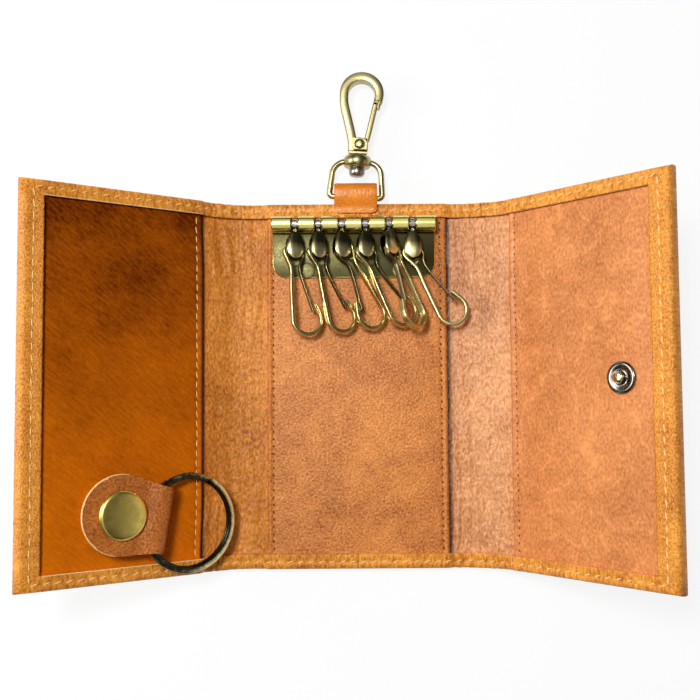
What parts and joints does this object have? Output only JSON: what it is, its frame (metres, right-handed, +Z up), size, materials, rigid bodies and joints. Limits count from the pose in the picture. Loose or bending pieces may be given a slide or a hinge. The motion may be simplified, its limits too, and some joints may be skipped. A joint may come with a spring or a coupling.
{
  "type": "leather key case",
  "caption": "Trifold leather key case lying open: swivel key hooks on the centre panel, slip-pocket flaps, a snap hook on a tab and a snapped strap that holds a split ring.",
  "frame": {"origin": "middle of the centre panel's back face, which lies on the table", "axes": "+X right across the folds, +Y towards the snap hook, +Z up out of the open case"},
  "size_m": [0.1591, 0.1365, 0.0451],
  "materials": {
    "tan_leather": "smooth tan calf, lightly waxed",
    "amber_leather": "deeper amber calf, lightly waxed",
    "liner_leather": "thin split, flesh side inwards",
    "strap_leather": "grained brown strap with a raw edge",
    "antique_brass": "antiqued plating, dark in the recesses",
    "dark_bronze": "dark bronze plating rubbed bright on the rim",
    "bright_steel": "bright steel",
    "gunmetal": "dark gunmetal plating, polished"
  },
  "bodies": {
    "centre": {"centre_shell": "tan_leather", "centre_liner": "liner_leather", "centre_panel": "tan_leather", "key_row_plate": "antique_brass", "key_row_rod": "bright_steel", "key_row_rivet_1": "antique_brass", "key_row_rivet_2": "antique_brass", "hook_tab": "tan_leather"},
    "left_spine": {"left_spine_shell": "tan_leather", "left_spine_liner": "liner_leather"},
    "left_flap": {"left_flap_shell": "tan_leather", "left_flap_liner": "liner_leather", "left_pocket_panel": "amber_leather", "key_loop_lower_leaf": "strap_leather", "key_loop_stud": "antique_brass", "closure_socket": "antique_brass", "closure_eyelet": "antique_brass"},
    "key_loop_leaf": {"key_loop_upper_leaf": "strap_leather", "key_loop_cap": "antique_brass", "key_loop_socket": "antique_brass"},
    "split_ring": {"split_ring": "dark_bronze"},
    "right_spine": {"right_spine_shell": "tan_leather", "right_spine_liner": "liner_leather"},
    "right_flap": {"right_flap_shell": "tan_leather", "right_flap_liner": "liner_leather", "right_pocket_panel": "tan_leather", "closure_stud": "gunmetal", "closure_cap": "antique_brass"},
    "hook_1_stem": {"hook_1_stem": "bright_steel"},
    "hook_1": {"hook_1_head": "antique_brass", "hook_1_loop": "antique_brass"},
    "hook_1_gate": {"hook_1_gate": "antique_brass"},
    "hook_2_stem": {"hook_2_stem": "bright_steel"},
    "hook_2": {"hook_2_head": "antique_brass", "hook_2_loop": "antique_brass"},
    "hook_2_gate": {"hook_2_gate": "antique_brass"},
    "hook_3_stem": {"hook_3_stem": "bright_steel"},
    "hook_3": {"hook_3_head": "antique_brass", "hook_3_loop": "antique_brass"},
    "hook_3_gate": {"hook_3_gate": "antique_brass"},
    "hook_4_stem": {"hook_4_stem": "bright_steel"},
    "hook_4": {"hook_4_head": "antique_brass", "hook_4_loop": "antique_brass"},
    "hook_4_gate": {"hook_4_gate": "antique_brass"},
    "hook_5_stem": {"hook_5_stem": "bright_steel"},
    "hook_5": {"hook_5_head": "antique_brass", "hook_5_loop": "antique_brass"},
    "hook_5_gate": {"hook_5_gate": "antique_brass"},
    "hook_6_stem": {"hook_6_stem": "bright_steel"},
    "hook_6": {"hook_6_head": "antique_brass", "hook_6_loop": "antique_brass"},
    "hook_6_gate": {"hook_6_gate": "antique_brass"},
    "swivel_eye": {"swivel_eye": "antique_brass"},
    "snap_hook": {"swivel_stud": "bright_steel", "snap_hook_body": "antique_brass", "snap_gate_pin": "antique_brass", "snap_gate_spring": "bright_steel"},
    "snap_gate": {"snap_hook_gate": "antique_brass"}
  },
  "joints": [
    {"name": "left_spine_fold", "type": "hinge", "parent": "centre", "child": "left_spine", "pos_m": [-0.0285, 0, 0.00425], "axis": [0, -1, 0], "range_deg": [-80, 10]},
    {"name": "left_flap_fold", "type": "hinge", "parent": "left_spine", "child": "left_flap", "pos_m": [-0.03465, 0, 0.00534], "axis": [0, -1, 0], "range_deg": [-64.8, 25.2]},
    {"name": "right_spine_fold", "type": "hinge", "parent": "centre", "child": "right_spine", "pos_m": [0.0285, 0, 0.00425], "axis": [0, 1, 0], "range_deg": [-74.4, 15.6]},
    {"name": "right_flap_fold", "type": "hinge", "parent": "right_spine", "child": "right_flap", "pos_m": [0.03982, 0, 0.00741], "axis": [0, 1, 0], "range_deg": [-56.6, 33.4]},
    {"name": "hook_1_swing", "type": "hinge", "parent": "centre", "child": "hook_1_stem", "pos_m": [-0.01692, 0.044, 0.0055], "axis": [-1, 0, 0], "range_deg": [0, 115]},
    {"name": "hook_1_swivel", "type": "hinge", "parent": "hook_1_stem", "child": "hook_1", "pos_m": [-0.01692, 0.04032, 0.00589], "axis": [0, 0.9945, -0.1045], "range_deg": [-6, 4]},
    {"name": "hook_1_gate_turn", "type": "hinge", "parent": "hook_1", "child": "hook_1_gate", "pos_m": [-0.01539, 0.037, 0.00573], "axis": [-0.309, -0.0994, -0.9458], "range_deg": [0, 12], "stiffness_Nm_per_rad": 0.02},
    {"name": "hook_2_swing", "type": "hinge", "parent": "centre", "child": "hook_2_stem", "pos_m": [-0.01047, 0.044, 0.0055], "axis": [-1, 0, 0], "range_deg": [0, 115]},
    {"name": "hook_2_swivel", "type": "hinge", "parent": "hook_2_stem", "child": "hook_2", "pos_m": [-0.01047, 0.04034, 0.00605], "axis": [0, 0.989, -0.1478], "range_deg": [-6, 4]},
    {"name": "hook_2_gate_turn", "type": "hinge", "parent": "hook_2", "child": "hook_2_gate", "pos_m": [-0.009, 0.03721, 0.00591], "axis": [-0.3746, -0.137, -0.917], "range_deg": [0, 12], "stiffness_Nm_per_rad": 0.02},
    {"name": "hook_3_swing", "type": "hinge", "parent": "centre", "child": "hook_3_stem", "pos_m": [-0.00402, 0.044, 0.0055], "axis": [-1, 0, 0], "range_deg": [0, 115]},
    {"name": "hook_3_swivel", "type": "hinge", "parent": "hook_3_stem", "child": "hook_3", "pos_m": [-0.00402, 0.04036, 0.00614], "axis": [0, 0.9848, -0.1736], "range_deg": [0, 5]},
    {"name": "hook_3_gate_turn", "type": "hinge", "parent": "hook_3", "child": "hook_3_gate", "pos_m": [-0.0053, 0.03646, 0.00736], "axis": [0.3746, 0.161, 0.9131], "range_deg": [0, 12], "stiffness_Nm_per_rad": 0.02},
    {"name": "hook_4_swing", "type": "hinge", "parent": "centre", "child": "hook_4_stem", "pos_m": [0.00243, 0.044, 0.0055], "axis": [-1, 0, 0], "range_deg": [0, 6]},
    {"name": "hook_4_swivel", "type": "hinge", "parent": "hook_4_stem", "child": "hook_4", "pos_m": [0.00243, 0.04037, 0.00621], "axis": [0, 0.9816, -0.1908], "range_deg": [0, 4]},
    {"name": "hook_4_gate_turn", "type": "hinge", "parent": "hook_4", "child": "hook_4_gate", "pos_m": [0.00385, 0.03751, 0.00623], "axis": [-0.342, -0.1793, -0.9224], "range_deg": [0, 12], "stiffness_Nm_per_rad": 0.02},
    {"name": "hook_5_swing", "type": "hinge", "parent": "centre", "child": "hook_5_stem", "pos_m": [0.00887, 0.044, 0.0055], "axis": [-1, 0, 0], "range_deg": [-4, 115]},
    {"name": "hook_5_swivel", "type": "hinge", "parent": "hook_5_stem", "child": "hook_5", "pos_m": [0.00887, 0.04055, 0.00683], "axis": [0, 0.9336, -0.3584], "range_deg": [0, 1.2]},
    {"name": "hook_5_gate_turn", "type": "hinge", "parent": "hook_5", "child": "hook_5_gate", "pos_m": [0.00783, 0.03709, 0.00912], "axis": [0.6534, 0.2713, 0.7067], "range_deg": [0, 12], "stiffness_Nm_per_rad": 0.02},
    {"name": "hook_6_swing", "type": "hinge", "parent": "centre", "child": "hook_6_stem", "pos_m": [0.01533, 0.044, 0.0055], "axis": [-1, 0, 0], "range_deg": [0, 115]},
    {"name": "hook_6_swivel", "type": "hinge", "parent": "hook_6_stem", "child": "hook_6", "pos_m": [0.01533, 0.04031, 0.00582], "axis": [0, 0.9962, -0.0872], "range_deg": [-3, 6]},
    {"name": "hook_6_gate_turn", "type": "hinge", "parent": "hook_6", "child": "hook_6_gate", "pos_m": [0.01684, 0.03751, 0.00599], "axis": [-0.0523, -0.087, -0.9948], "range_deg": [0, 12], "stiffness_Nm_per_rad": 0.02},
    {"name": "eye_swing", "type": "hinge", "parent": "centre", "child": "swivel_eye", "pos_m": [-0.00015, 0.0516, 0.0042], "axis": [-0.9984, 0.0558, 0], "range_deg": [-70, 90]},
    {"name": "snap_swivel", "type": "hinge", "parent": "swivel_eye", "child": "snap_hook", "pos_m": [-0.00015, 0.0516, 0.0042], "axis": [0.0558, 0.9984, 0], "continuous": true},
    {"name": "snap_gate_turn", "type": "hinge", "parent": "snap_hook", "child": "snap_gate", "pos_m": [0.00107, 0.0662, 0.0042], "axis": [0, 0, 1], "range_deg": [0, 20], "stiffness_Nm_per_rad": 0.03},
    {"name": "key_loop_leaf_turn", "type": "hinge", "parent": "left_flap", "child": "key_loop_leaf", "pos_m": [-0.04891, -0.03483, 0.01827], "axis": [0.1419, 0.9848, -0.1001], "range_deg": [0, 85]},
    {"name": "split_ring_swing", "type": "hinge", "parent": "left_flap", "child": "split_ring", "pos_m": [-0.05257, -0.03404, 0.02085], "axis": [-0.1419, -0.9848, 0.1001], "range_deg": [0, 30]}
  ]
}
